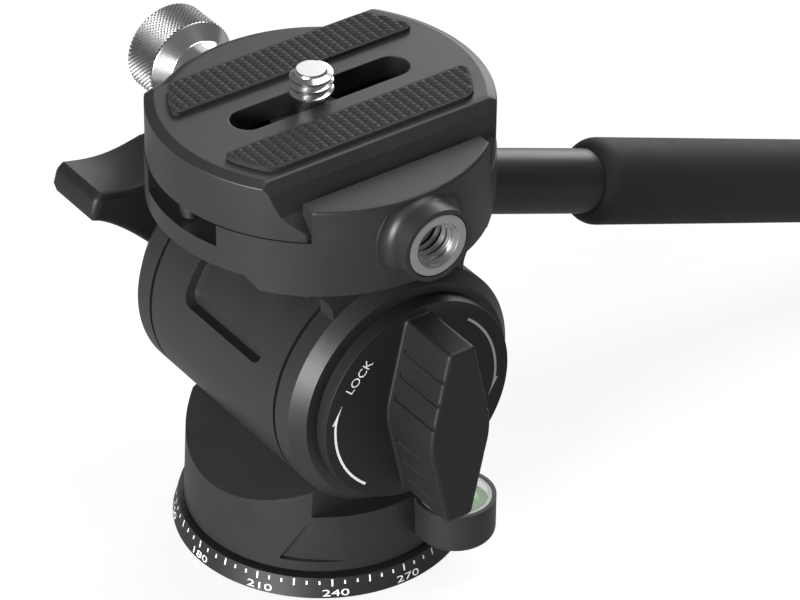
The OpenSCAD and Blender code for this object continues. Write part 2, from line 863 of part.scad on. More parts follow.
module clamp_knob() {
    neck_x = clamp_r;
    edge = 0.5;
    head_start = neck_len + cone_len;
    head_end = head_start + knurl_len;
    color(steel) translate([-neck_x, 0, clamp_knob_z]) rotate([0, -90, 0]) difference() {
        rotate_extrude() polygon([
            [0, 0], [neck_r, 0], [neck_r, neck_len], [clamp_knob_r, head_start],
            [clamp_knob_r, head_end - edge], [clamp_knob_r - edge, head_end], [0, head_end]
        ]);
        translate([0, 0, -over]) cylinder(r = drawbar_r + run, h = over + neck_len);
    }
}

module clamp_drawbar() {
    color(steel) x_rod(drawbar_r, -clamp_r - neck_len, drawbar_in, 0, clamp_knob_z);
}

// Half outline of the plate across X: foot, dovetail slope, side wall, rounded top edge
module plate_outline() {
    round_w = side_half - top_half;
    polygon(concat(
        [[-over, floor_z], [foot_half, floor_z], [foot_half, slope_z], [neck_half, neck_z]],
        [for (turn = [0 : 15 : 90])
            [top_half + round_w * cos(turn), plate_z - round_w + round_w * sin(turn)]],
        [[-over, plate_z]]
    ));
}

// Round of the plate's ends with the top chamfer
module plate_round() {
    translate([0, 0, floor_z]) rotate_extrude() polygon([
        [0, 0], [plate_r, 0], [plate_r, plate_h - chamfer_h], [plate_r - chamfer_w, plate_h], [0, plate_h]
    ]);
}

// Slot with round ends along Y
module slot(half_width, reach, z_low, z_high) {
    translate([0, 0, z_low]) linear_extrude(z_high - z_low) union() {
        square([2 * half_width, 2 * (reach - half_width)], center = true);
        for (side = [-1, 1]) translate([0, side * (reach - half_width)]) circle(r = half_width);
    }
}

module quick_plate() {
    color(black) difference() {
        intersection() {
            plate_round();
            both_x() along_y(4 * clamp_r) plate_outline();
        }
        slot(slot_half, slot_reach, floor_z - over, plate_z + over);
        slot(well_half, well_reach, floor_z - over, plate_z - plate_roof);
        both_y() translate([0, stop_y, floor_z - over])
            cylinder(r = stop_r + run, h = stop_in + over, $fn = fine);
    }
}

module rubber_pads() {
    pad_round_r = plate_r - chamfer_w - 1.9;
    color(dark) both_x() translate([0, 0, plate_z]) intersection() {
        cylinder(r = pad_round_r, h = pad_h);
        translate([pad_in, -clamp_r, 0]) cube([pad_out - pad_in, 2 * clamp_r, pad_h]);
    }
}

module stop_screws() {
    color(steel) both_y() translate([0, stop_y, floor_z - stop_head_h]) {
        cylinder(r = stop_head_r, h = stop_head_h, $fn = fine);
        cylinder(r = stop_r, h = stop_head_h + stop_in - 0.2, $fn = fine);
    }
}

module screw_washer() {
    color(steel) translate([0, screw_y, 0])
        tube(screw_head_r, screw_neck_r + run, under_roof - screw_washer_h, under_roof);
}

module camera_screw() {
    head_top = under_roof - screw_washer_h;
    neck_top = plate_z + thread_gap;
    thread_h = plate_z + screw_h - neck_top;
    tip = 1;
    color(steel) translate([0, screw_y, 0]) {
        translate([0, 0, head_top - screw_head_h]) cylinder(r = screw_head_r, h = screw_head_h);
        translate([0, 0, head_top - over]) cylinder(r = screw_neck_r, h = neck_top - head_top + 2 * over);
        translate([0, 0, neck_top]) rotate_extrude() polygon([
            [0, 0], [screw_r, 0], [screw_r, thread_h - tip], [screw_r - tip, thread_h], [0, thread_h]
        ]);
    }
}

// Six-sided wing of the lock knob, long along Z
module wing() {
    linear_extrude(wing_h) polygon([
        [-wing_half, -wing_end], [-wing_half, wing_end], [0, wing_mid],
        [wing_half, wing_end], [wing_half, -wing_end], [0, -wing_mid]
    ]);
}

module lock_knob() {
    color(dark) difference() {
        on_tilt_axis(knob_x) union() {
            rotate_extrude() polygon([
                [0, 0], [lock_r - lock_edge, 0], [lock_r, lock_edge],
                [lock_r, lock_t - lock_edge], [lock_r - lock_edge, lock_t], [0, lock_t]
            ]);
            translate([0, 0, lock_t]) wing();
        }
        on_tilt_axis(knob_x - over) cylinder(r = nut_r, h = lock_nut_t + over, $fn = 6);
        on_tilt_axis(knob_x - over) cylinder(r = shaft_end_r + run, h = shaft_right - knob_x + over + 0.4);
    }
}

module lock_nut() {
    color(brass) difference() {
        on_tilt_axis(knob_x) cylinder(r = nut_r - 0.1, h = lock_nut_t - 0.05, $fn = 6);
        on_tilt_axis(knob_x - over) cylinder(r = shaft_end_r + run, h = lock_nut_t + 2 * over);
    }
}

// Side outline of the drag lever's arm: dished top, leaning tip, hollow underside, round boss
module lever_outline() {
    dip = 1;
    tip_rise = 0.25;
    crest_y = -lever_reach * 0.366;
    corner_y = 1.8 - lever_reach;
    foot_y = 0.4 - lever_reach;
    root_y = -lever_reach * 0.55;
    root_z = lever_top * 0.253;
    tip_z = lever_top - lever_tip_h;
    steps = 10;
    back = [[lever_boss_r, 0], [lever_boss_r, lever_top * 0.36],
        [lever_boss_r * 0.64, lever_top * 0.735], [0, lever_top * 0.928],
        [crest_y * 0.58, lever_top * 0.994]];
    upper = [for (i = [0 : steps])
        let (t = i / steps)
        [crest_y + t * (corner_y - crest_y), lever_top - dip * sin(180 * t) + tip_rise * t]];
    tip = [[0.9 - lever_reach, lever_top - 0.4], [0.55 - lever_reach, lever_top - 0.9],
        [-lever_reach, tip_z + 1.3]];
    lower = [for (i = [0 : steps])
        let (t = i / steps)
        [foot_y + t * (root_y - foot_y), tip_z - (tip_z - root_z) * pow(t, 1.35)]];
    polygon(concat(back, upper, tip, lower, [[-lever_boss_r, 0]]));
    circle(r = lever_boss_r);
}

module drag_lever() {
    arm_x = knob_x + lever_hub_t;
    color(dark) difference() {
        union() {
            mirror([1, 0, 0]) on_tilt_axis(knob_x) cylinder(r = lever_hub_r, h = lever_hub_t);
            translate([0, 0, tilt_z]) along_x(-arm_x - lever_w, -arm_x) lever_outline();
        }
        mirror([1, 0, 0]) {
            on_tilt_axis(knob_x - over) cylinder(r = nut_r, h = lever_nut_t + over, $fn = 6);
            on_tilt_axis(knob_x - over)
                cylinder(r = shaft_end_r + run, h = shaft_left - knob_x + over + clear);
        }
    }
}

module lever_nut() {
    color(brass) mirror([1, 0, 0]) difference() {
        on_tilt_axis(knob_x) cylinder(r = nut_r - 0.1, h = lever_nut_t - 0.05, $fn = 6);
        on_tilt_axis(knob_x - over) cylinder(r = shaft_end_r + run, h = lever_nut_t + 2 * over);
    }
}

scale_ring();
tripod_socket();
pan_spindle();
spindle_screws();
thrust_washer();
pan_nut();
pan_housing();
pan_bush();
pan_friction_disc();
pan_disc_spring();
housing_screws();
level_cup();
level_fluid();
level_bubble();
level_lens();
tilt_housing();
tilt_shaft();
tilt_disc_springs();
pressure_plates();
friction_discs();
yoke();
tilt_bushes();
cheek_washers();
clamp_base();
accessory_bush();
clamp_screws();
handle_rod();
handle_set_screw();
handle_grip();
movable_jaw();
jaw_guide_pins();
clamp_knob();
clamp_drawbar();
quick_plate();
rubber_pads();
stop_screws();
screw_washer();
camera_screw();
lock_knob();
lock_nut();
drag_lever();
lever_nut();
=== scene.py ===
# %% [markdown]
# # A compact fluid video head
# The real object is a small tripod head: a panning base with a degree ring, a drum that tilts in a
# yoke, a dovetail clamp with a quick release plate, and a long pan handle. The solids and the joints
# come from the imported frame. This script dresses them: it rounds the machined edges, adds threads,
# knurling, printing and rubber texture, and gives every part a procedural finish.

# %% Load the frame
import json
import math

import bmesh
import bpy
from mathutils import Matrix, Vector


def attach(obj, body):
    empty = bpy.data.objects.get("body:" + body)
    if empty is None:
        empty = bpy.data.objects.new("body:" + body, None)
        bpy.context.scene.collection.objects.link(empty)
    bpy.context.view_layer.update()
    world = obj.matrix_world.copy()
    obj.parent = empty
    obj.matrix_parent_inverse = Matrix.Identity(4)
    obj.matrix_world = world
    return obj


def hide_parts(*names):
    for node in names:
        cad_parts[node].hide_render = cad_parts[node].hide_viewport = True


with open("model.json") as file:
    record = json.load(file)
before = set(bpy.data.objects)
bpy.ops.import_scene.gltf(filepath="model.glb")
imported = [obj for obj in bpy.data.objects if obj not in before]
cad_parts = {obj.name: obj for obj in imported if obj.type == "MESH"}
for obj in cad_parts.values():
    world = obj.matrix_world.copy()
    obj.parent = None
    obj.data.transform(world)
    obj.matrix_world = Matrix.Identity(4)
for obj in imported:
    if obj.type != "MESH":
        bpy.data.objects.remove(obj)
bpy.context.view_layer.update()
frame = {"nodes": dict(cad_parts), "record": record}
print("CAD nodes:", len(frame["nodes"]))

# %% [markdown]
# ## Camera
# A lens of about 214 mm on a 36 mm sensor from 0.7 m gives the gentle perspective of the picture. The
# camera's three axes are written out, because they were fitted to the round edges of the real head.
# A small sideways shift keeps the head left of the middle, as a photographer would frame it.

# %% Camera
AZIMUTH = math.radians(55.351)
ELEVATION = math.radians(35.062)
DISTANCE = 0.700
SIDE_STEP, LIFT = 0.000373, 0.030245
RIGHT = Vector((math.cos(AZIMUTH), math.sin(AZIMUTH), 0))
LEVEL = math.cos(ELEVATION)
BACK = Vector((math.sin(AZIMUTH) * LEVEL, -math.cos(AZIMUTH) * LEVEL, math.sin(ELEVATION)))
UP = BACK.cross(RIGHT)
lens_data = bpy.data.cameras.new("studio_camera")
lens_data.sensor_width = 36
lens_data.lens = 214.45
lens_data.shift_x = 0.09625
lens_data.clip_start = 0.01
camera = bpy.data.objects.new("studio_camera", lens_data)
camera.matrix_world = Matrix((RIGHT, UP, BACK)).transposed().to_4x4()
camera.location = RIGHT * SIDE_STEP + UP * LIFT + BACK * DISTANCE
bpy.context.scene.collection.objects.link(camera)
bpy.context.scene.camera = camera
print("camera at", [round(v, 3) for v in camera.location])

# %% [markdown]
# ## Modelling helpers
# All sizes below are in millimetres, as on a drawing, and each mesh is scaled to metres when it is
# finished. Round parts are spun from a half outline, flat parts are drawn out from an outline, parts
# with rounded edges are drawn out through several outlines, and parts that the frame already has
# exactly are taken as a merged copy whose edges are then rounded.

# %% Helpers for new pieces
MM = 0.001


def spun(points, steps=96, closed=False):
    """Solid of revolution about Z from a half outline of (radius, height) points."""
    bm = bmesh.new()
    verts = [bm.verts.new((r, 0, z)) for r, z in points]
    pairs = list(zip(verts, verts[1:]))
    if closed:
        pairs.append((verts[-1], verts[0]))
    edges = [bm.edges.new(pair) for pair in pairs]
    bmesh.ops.spin(bm, geom=verts + edges, cent=(0, 0, 0), axis=(0, 0, 1), angle=math.tau, steps=steps,
                   use_merge=True)
    bmesh.ops.remove_doubles(bm, verts=bm.verts, dist=1e-4)
    bmesh.ops.recalc_face_normals(bm, faces=bm.faces)
    return bm


def drawn_out(outline, along):
    """Solid drawn out from a closed outline of points along a vector."""
    bm = bmesh.new()
    face = bm.faces.new([bm.verts.new(p) for p in outline])
    grown = bmesh.ops.extrude_face_region(bm, geom=[face])
    moved = [v for v in grown["geom"] if isinstance(v, bmesh.types.BMVert)]
    bmesh.ops.translate(bm, vec=along, verts=moved)
    bmesh.ops.recalc_face_normals(bm, faces=bm.faces)
    return bm


def placed(bm, matrix):
    """The same mesh, moved by a matrix."""
    bmesh.ops.transform(bm, matrix=matrix, verts=bm.verts)
    return bm


def crisp(bm, degrees):
    """Edges whose faces meet at more than an angle."""
    limit = math.radians(degrees)
    return [e for e in bm.edges if len(e.link_faces) == 2 and e.calc_face_angle(0) > limit]


def eased(bm, width, edges, segments=3):
    """Round the given edges by a width."""
    bmesh.ops.bevel(bm, geom=edges, offset=width, offset_type="OFFSET", segments=segments, profile=0.5,
                    affect="EDGES", clamp_overlap=True, material=-1)
    return bm


def piece(name, bm, body, sharp=35):
    """Finish a mesh in metres as an object that rides on a body."""
    bmesh.ops.scale(bm, vec=(MM, MM, MM), verts=bm.verts)
    mesh = bpy.data.meshes.new(name)
    bm.to_mesh(mesh)
    bm.free()
    mesh.shade_smooth()
    mesh.set_sharp_from_angle(angle=math.radians(sharp))
    obj = bpy.data.objects.new(name, mesh)
    bpy.context.scene.collection.objects.link(obj)
    even = obj.modifiers.new("flat_faces_stay_flat", "WEIGHTED_NORMAL")
    even.keep_sharp = True
    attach(obj, body)
    print(name, len(mesh.polygons), "faces")
    return obj


def combined(bm, tool, operation):
    """Boolean of two meshes, done with Blender's exact solver."""
    objs = []
    for label, source in (("work", bm), ("tool", tool)):
        mesh = bpy.data.meshes.new(label)
        source.to_mesh(mesh)
        source.free()
        obj = bpy.data.objects.new(label, mesh)
        bpy.context.scene.collection.objects.link(obj)
        objs.append(obj)
    work, cutter = objs
    step = work.modifiers.new("boolean", "BOOLEAN")
    step.object = cutter
    step.operation = operation
    step.solver = "EXACT"
    bpy.context.view_layer.update()
    result = bmesh.new()
    result.from_object(work, bpy.context.evaluated_depsgraph_get())
    for obj in objs:
        mesh = obj.data
        bpy.data.objects.remove(obj)
        bpy.data.meshes.remove(mesh)
    bmesh.ops.remove_doubles(result, verts=result.verts, dist=1e-3)
    return result


def merged(parts):
    """Several meshes as one."""
    whole = bmesh.new()
    for part in parts:
        mesh = bpy.data.meshes.new("part")
        part.to_mesh(mesh)
        part.free()
        whole.from_mesh(mesh)
        bpy.data.meshes.remove(mesh)
    return whole


def lofted(outlines):
    """Closed solid that is drawn out from the first outline through all the others."""
    bm = bmesh.new()
    face = bm.faces.new([bm.verts.new(p) for p in outlines[0]])
    for step, (last, following) in enumerate(zip(outlines, outlines[1:])):
        grown = bmesh.ops.extrude_face_region(bm, geom=[face])["geom"]
        if step:
            bm.faces.remove(face)
        face = next(f for f in grown if isinstance(f, bmesh.types.BMFace))
        for v in face.verts:
            spot = min(range(len(last)), key=lambda i: (Vector(last[i]) - v.co).length)
            v.co = following[spot]
    bmesh.ops.recalc_face_normals(bm, faces=bm.faces)
    return bm


def regular(radius, sides, x, y, z, height):
    """Upright prism with a regular outline, its first corner along X."""
    turns = [math.tau * i / sides for i in range(sides)]
    outline = [(x + radius * math.cos(a), y + radius * math.sin(a), z) for a in turns]
    return drawn_out(outline, (0, 0, height))


def cad_copy(node):
    """Merged copy of a CAD node's mesh, in millimetres, with flat faces joined again."""
    bm = bmesh.new()
    bm.from_mesh(frame["nodes"][node].data)
    bmesh.ops.scale(bm, vec=(1 / MM, 1 / MM, 1 / MM), verts=bm.verts)
    bmesh.ops.remove_doubles(bm, verts=bm.verts, dist=0.004)
    bmesh.ops.dissolve_limit(bm, angle_limit=math.radians(0.5), verts=bm.verts, edges=bm.edges)
    return bm


# %% [markdown]
# ## Axes of the head
# Knobs, boss and handle are turned parts, so each is spun upright and then laid on its own axis.

# %% Axes
TILT_Z, BOSS_Z, HANDLE_Z, HANDLE_LEAN = 33.75, 62.2, 57.3, -110.7
CLAMP_KNOB_AT = (-24.6, 0, 59.5)
TILT_AXIS = Matrix.Translation((0, 0, TILT_Z)) @ Matrix.Rotation(math.radians(90), 4, "Y")
CLAMP_KNOB_AXIS = Matrix.Translation(CLAMP_KNOB_AT) @ Matrix.Rotation(math.radians(-90), 4, "Y")
BOSS_AXIS = Matrix.Translation((0, 0, BOSS_Z)) @ Matrix.Rotation(math.radians(90), 4, "Y")
HANDLE_AXIS = Matrix.Translation((0, 0, HANDLE_Z)) @ Matrix.Rotation(math.radians(HANDLE_LEAN), 4, "X")
print("tilt axis at", TILT_Z, "mm")

# %% [markdown]
# ## Shared surface effects
# Anodised metal, moulded plastic and rubber all have a fine grain, only of another size and strength.
# One node group makes it: it mixes two tones of the colour, varies the roughness and gives a height
# for a Bump node.

# %% Grain group
def group_with(name, inputs, outputs):
    """Empty shader node group with named float and colour sockets."""
    tree = bpy.data.node_groups.new(name, "ShaderNodeTree")
    for label, kind, value in inputs:
        socket = tree.interface.new_socket(label, in_out="INPUT", socket_type=kind)
        socket.default_value = value
    for label, kind in outputs:
        tree.interface.new_socket(label, in_out="OUTPUT", socket_type=kind)
    return tree, tree.nodes.new("NodeGroupInput"), tree.nodes.new("NodeGroupOutput")


COLOUR = "NodeSocketColor"
FLOAT = "NodeSocketFloat"
GREY = (0.02, 0.02, 0.02, 1)
grain, given, made = group_with(
    "fine_grain",
    [("Tone", COLOUR, GREY), ("Worn Tone", COLOUR, GREY), ("Grain Scale", FLOAT, 2000.0),
     ("Blotch Scale", FLOAT, 120.0), ("Roughness Low", FLOAT, 0.35), ("Roughness High", FLOAT, 0.45)],
    [("Color", COLOUR), ("Roughness", FLOAT), ("Height", FLOAT)])
place = grain.nodes.new("ShaderNodeTexCoord")
fine = grain.nodes.new("ShaderNodeTexNoise")
fine.inputs["Detail"].default_value = 3.0
blotch = grain.nodes.new("ShaderNodeTexNoise")
blotch.inputs["Detail"].default_value = 2.0
blend = grain.nodes.new("ShaderNodeMix")
blend.data_type = "RGBA"
both = grain.nodes.new("ShaderNodeMath")
both.operation = "MULTIPLY"
rough = grain.nodes.new("ShaderNodeMapRange")
wire = grain.links.new
wire(place.outputs["Object"], fine.inputs["Vector"])
wire(place.outputs["Object"], blotch.inputs["Vector"])
wire(given.outputs["Grain Scale"], fine.inputs["Scale"])
wire(given.outputs["Blotch Scale"], blotch.inputs["Scale"])
wire(fine.outputs["Fac"], both.inputs[0])
wire(blotch.outputs["Fac"], both.inputs[1])
wire(both.outputs[0], blend.inputs["Factor"])
wire(given.outputs["Tone"], blend.inputs["A"])
wire(given.outputs["Worn Tone"], blend.inputs["B"])
wire(blotch.outputs["Fac"], rough.inputs["Value"])
wire(given.outputs["Roughness Low"], rough.inputs["To Min"])
wire(given.outputs["Roughness High"], rough.inputs["To Max"])
wire(blend.outputs["Result"], made.inputs["Color"])
wire(rough.outputs["Result"], made.inputs["Roughness"])
wire(fine.outputs["Fac"], made.inputs["Height"])
print("grain group:", len(grain.nodes), "nodes")

# %% [markdown]
# ## Finishes
# Each finish is one material: the grain group feeds colour, roughness and bump, and the numbers that
# are the same all over the surface sit on the shader itself.

# %% Finishes
BUMP_DEPTH = 0.00002


def finish(name, tone, worn, roughness, metallic=0.0, specular=0.5, grain_scale=2000.0, bump=0.05):
    """Material with fine grain in its colour, roughness and surface."""
    made_of = bpy.data.materials.new(name)
    made_of.use_nodes = True
    nodes = made_of.node_tree.nodes
    link = made_of.node_tree.links.new
    shader = nodes["Principled BSDF"]
    shader.inputs["Metallic"].default_value = metallic
    shader.inputs["Specular IOR Level"].default_value = specular
    texture = nodes.new("ShaderNodeGroup")
    texture.node_tree = grain
    texture.inputs["Tone"].default_value = (*tone, 1)
    texture.inputs["Worn Tone"].default_value = (*worn, 1)
    texture.inputs["Grain Scale"].default_value = grain_scale
    texture.inputs["Roughness Low"].default_value = roughness[0]
    texture.inputs["Roughness High"].default_value = roughness[1]
    dent = nodes.new("ShaderNodeBump")
    dent.inputs["Strength"].default_value = bump
    dent.inputs["Distance"].default_value = BUMP_DEPTH
    link(texture.outputs["Color"], shader.inputs["Base Color"])
    link(texture.outputs["Roughness"], shader.inputs["Roughness"])
    link(texture.outputs["Height"], dent.inputs["Height"])
    link(dent.outputs["Normal"], shader.inputs["Normal"])
    return made_of


def grey(value):
    """Neutral tone."""
    return (value, value, value)


satin_black = finish("satin_black_anodising", grey(0.014), grey(0.024), (0.36, 0.46), specular=0.45,
                     bump=0.25)
scale_black = finish("scale_black_anodising", grey(0.012), grey(0.022), (0.36, 0.46), specular=0.45,
                     bump=0.25)
knob_black = finish("moulded_black_plastic", grey(0.008), grey(0.014), (0.44, 0.54), specular=0.35, bump=0.35,
                    grain_scale=2600.0)
grip_rubber = finish("grip_rubber", grey(0.014), grey(0.024), (0.62, 0.74), specular=0.35, bump=0.5,
                     grain_scale=1500.0)
pad_rubber = finish("pad_rubber", grey(0.010), grey(0.018), (0.58, 0.70), specular=0.4, bump=0.4,
                    grain_scale=2400.0)
bright_steel = finish("polished_steel", grey(0.66), grey(0.74), (0.18, 0.26), metallic=1.0, bump=0.05)
knurl_steel = finish("knurled_steel", grey(0.17), grey(0.24), (0.34, 0.44), metallic=1.0, bump=0.1)
turned_steel = finish("turned_steel", grey(0.46), grey(0.54), (0.26, 0.36), metallic=1.0, bump=0.2)
dark_steel = finish("blackened_steel", grey(0.10), grey(0.16), (0.28, 0.38), metallic=1.0, bump=0.2)
bearing_bronze = finish("bearing_bronze", (0.56, 0.38, 0.16), (0.66, 0.48, 0.24), (0.30, 0.42), metallic=1.0,
                        bump=0.2)
friction_lining = finish("friction_lining", (0.05, 0.042, 0.034), (0.09, 0.075, 0.06), (0.75, 0.9),
                         specular=0.3, bump=0.6, grain_scale=900.0)
white_print = finish("white_print", grey(0.90), grey(0.96), (0.45, 0.55), bump=0.1)
level_body = finish("level_body", grey(0.42), grey(0.50), (0.40, 0.50), bump=0.15)
level_liquid = finish("level_liquid", (0.30, 0.62, 0.26), (0.38, 0.70, 0.34), (0.10, 0.16), bump=0.0)
level_air = finish("level_air", (0.70, 0.86, 0.66), (0.76, 0.90, 0.72), (0.08, 0.12), bump=0.0)
print("finishes:", len(bpy.data.materials))

# %% [markdown]
# The window of the level is clear plastic. It is thin, so it is made see-through with a low alpha and no
# bending of the light, and the liquid stays easy to see below its reflections.

# %% Level window
WINDOW_ALPHA = 0.2
level_window = finish("level_window", grey(0.90), grey(0.96), (0.03, 0.08), bump=0.02)
level_window.node_tree.nodes["Principled BSDF"].inputs["Alpha"].default_value = WINDOW_ALPHA
print("window ready")

# %% [markdown]
# ## Finishes for the parts that stay as they are
# Hidden and plain turned parts keep the frame's own solids. They only get a finish. Later pieces either
# stand in for one of these solids or, like printing, are added to it.

# %% Dress the plain CAD parts
FINISH_OF_SLOT = {
    "black_metal": satin_black, "scale_metal": scale_black, "black_plastic": knob_black,
    "rubber": grip_rubber, "polished_steel": bright_steel, "steel": turned_steel,
    "bronze": bearing_bronze, "friction": friction_lining, "level_grey": level_body,
    "level_green": level_liquid, "level_clear": level_window,
}
PLAIN_SHARP = 30
slot_of = {row["node"]: row["material_slot"] for row in frame["record"]["subparts"]}


def dress(obj, material):
    """One finish for a whole object."""
    obj.data.materials.clear()
    obj.data.materials.append(material)


for node, obj in frame["nodes"].items():
    dress(obj, FINISH_OF_SLOT[slot_of[node]])
    obj.data.shade_smooth()
    obj.data.set_sharp_from_angle(angle=math.radians(PLAIN_SHARP))
dress(frame["nodes"]["level_bubble"], level_air)
dress(frame["nodes"]["stop_screws"], dark_steel)
print("dressed", len(frame["nodes"]), "nodes")


def stand_in(obj, node, material):
    """The piece takes a CAD node's place and a finish."""
    dress(obj, material)
    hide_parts(node)


def added(obj, material):
    """A piece without a CAD node of its own takes a finish."""
    dress(obj, material)


# %% [markdown]
# ## Cast and machined black parts
# The housings, yoke, clamp and plate are aluminium. On the real ones every edge is broken by a small
# radius that catches the light, and that thin bright line is what makes them read as metal. A copy of
# the exact solid with its long edges rounded gives that. Tiny edges around hidden screw holes are left
# crisp, because nobody sees them and they would limit the rounding elsewhere.

# %% Black metal parts
EDGE_ANGLE = 32


def from_pan_axis(p):
    """Distance of a point from the pan axis."""
    return math.hypot(p.x, p.y)


def from_tilt_axis(p):
    """Distance of a point from the tilt axis."""
    return math.hypot(p.y, p.z - TILT_Z)


def broken_edges(name, node, body, width, distance, least):
    """Copy of a black CAD node, its crisp edges rounded from a least distance off an axis."""
    bm = cad_copy(node)
    chosen = [e for e in crisp(bm, EDGE_ANGLE) if distance((e.verts[0].co + e.verts[1].co) / 2) > least]
    eased(bm, width, chosen)
    stand_in(piece(name, bm, body), node, satin_black)


broken_edges("pan_body", "pan_housing", "pan", 0.35, from_pan_axis, 12.5)
broken_edges("tilt_drum", "tilt_housing", "pan", 0.4, from_tilt_axis, 15.5)
broken_edges("yoke_casting", "yoke", "tilt", 0.4, from_tilt_axis, 7.5)
broken_edges("clamp_body", "clamp_base", "tilt", 0.3, from_pan_axis, 20.0)
broken_edges("clamp_jaw", "movable_jaw", "jaw", 0.3, from_pan_axis, 15.0)

# %% [markdown]
# ## Release plate
# The round ends of the plate have a flat chamfer, and its two straight sides a steep one. The sharp line
# between the top and the steep chamfer is bright on the real plate, so both sides are cut to get it.

# %% Release plate
SIDE_CUT = [(14.05, 72.04), (15.80, 69.82), (17.0, 69.82), (17.0, 73.0), (14.05, 73.0)]
CUT_HALF, PLATE_ANGLE, EASED_ABOVE, PLATE_EASE = 30.0, 20, 63.0, 0.15
plate_body = cad_copy("quick_plate")
for hand in (1, -1):
    waste = drawn_out([(hand * x, -CUT_HALF, z) for x, z in SIDE_CUT], (0, 2 * CUT_HALF, 0))
    plate_body = combined(plate_body, waste, "DIFFERENCE")
top_edges = [e for e in crisp(plate_body, PLATE_ANGLE) if min(v.co.z for v in e.verts) > EASED_ABOVE]
eased(plate_body, PLATE_EASE, top_edges)
stand_in(piece("release_plate", plate_body, "plate", sharp=30), "quick_plate", satin_black)

# %% [markdown]
# ## Degree ring
# The ring round the base is a shallow cone with white degree marks: a short tick every 5 degrees, a
# long one every 15 and a number every 30. The values grow counterclockwise, with 0 under the handle.
# Ticks are laid out with one matrix each; numbers are flat lettering that is wrapped onto the cone.

# %% Degree ring marks
RING_R = 21.7
RING_TOP_R = 20.9
RING_H = 3.0
RING_SLANT = math.hypot(RING_R - RING_TOP_R, RING_H)
PRINT_LIFT = 0.03
ZERO_AT, TICK_W, LONG_TICK, SHORT_TICK = 90, 0.25, (1.83, 2.9), (2.09, 2.67)
FIGURE_CAP, FIGURE_STRETCH, FIGURE_FOOT, FIGURE_TURN = 1.03, 1.85, 0.29, 1.3


def on_ring(turn, up):
    """Place just off the ring's cone: degrees about the pan axis, and a distance up the slope."""
    share = up / RING_SLANT
    radius = RING_R + (RING_TOP_R - RING_R) * share + PRINT_LIFT * RING_H / RING_SLANT
    height = RING_H * share + PRINT_LIFT * (RING_R - RING_TOP_R) / RING_SLANT
    angle = math.radians(turn)
    return Vector((radius * math.cos(angle), radius * math.sin(angle), height))


def lettering(words, cap, stretch):
    """Flat mesh of some words, centred on X and standing on Y = 0, with a set height of capitals."""
    curve = bpy.data.curves.new("words", "FONT")
    curve.body = words
    curve.resolution_u = 3
    obj = bpy.data.objects.new("words", curve)
    bpy.context.scene.collection.objects.link(obj)
    ready = obj.evaluated_get(bpy.context.evaluated_depsgraph_get())
    bm = bmesh.new()
    bm.from_mesh(ready.to_mesh())
    ready.to_mesh_clear()
    bpy.data.objects.remove(obj)
    bpy.data.curves.remove(curve)
    low = Vector([min(v.co[i] for v in bm.verts) for i in range(2)])
    high = Vector([max(v.co[i] for v in bm.verts) for i in range(2)])
    grow = cap / (high.y - low.y)
    shift = Matrix.Translation((-(low.x + high.x) / 2, -low.y, 0))
    return placed(bm, Matrix.Diagonal((grow * stretch, grow, 1, 1)) @ shift)


marks = bmesh.new()
for value in range(0, 360, 5):
    low, high = LONG_TICK if value % 15 == 0 else SHORT_TICK
    foot, head = on_ring(ZERO_AT + value, low), on_ring(ZERO_AT + value, high)
    across = Vector((0, 0, 1)).cross(foot).normalized()
    outwards = across.cross(head - foot).normalized()
    lay = Matrix((across * TICK_W, head - foot, outwards)).transposed().to_4x4()
    lay.translation = (foot + head) / 2
    bmesh.ops.create_grid(marks, x_segments=1, y_segments=1, size=0.5, matrix=lay)
added(piece("scale_ticks", marks, "base"), white_print)
for value in range(0, 360, 30):
    number = lettering(str(value), FIGURE_CAP, FIGURE_STRETCH)
    for v in number.verts:
        turn = ZERO_AT + FIGURE_TURN + value + math.degrees(v.co.x / RING_R)
        v.co = on_ring(turn, FIGURE_FOOT + v.co.y)
    added(piece(f"scale_number_{value}", number, "base"), white_print)

# %% [markdown]
# ## Rubber pads
# Two strips of rubber keep the camera from twisting. Their top is a field of low pyramids. The strip is
# drawn out from its outline, its corners are rounded, and then its top is cut into a grid with planes,
# so that each cell can be poked up into a pyramid. Slivers at the border stay plain.

# %% Rubber pads
PAD_IN, PAD_OUT, PAD_END = 6.0, 13.15, 21.2
PAD_Z, PAD_BODY, PAD_POINT = 72.0, 0.63, 0.27
PAD_CELL = (0.936, 1.45)
PAD_COLUMNS, PAD_ROWS, ARC_STEPS = 8, 13, 6
PAD_BORDER, PAD_CORNER, LEAST_SHARE = 0.3, 1.3, 0.4


def pad_corners():
    """Outline of one strip, with ends on the plate's round."""
    first, last = math.acos(PAD_OUT / PAD_END), math.acos(PAD_IN / PAD_END)
    arc = [first + (last - first) * i / ARC_STEPS for i in range(ARC_STEPS + 1)]
    far = [(PAD_END * math.cos(a), PAD_END * math.sin(a), PAD_Z) for a in arc]
    return far + [(x, -y, z) for x, y, z in reversed(far)]


def sliced(bm, at, normal):
    """Cut all faces of a mesh along a plane."""
    bmesh.ops.bisect_plane(bm, geom=bm.verts[:] + bm.edges[:] + bm.faces[:], plane_co=at, plane_no=normal)


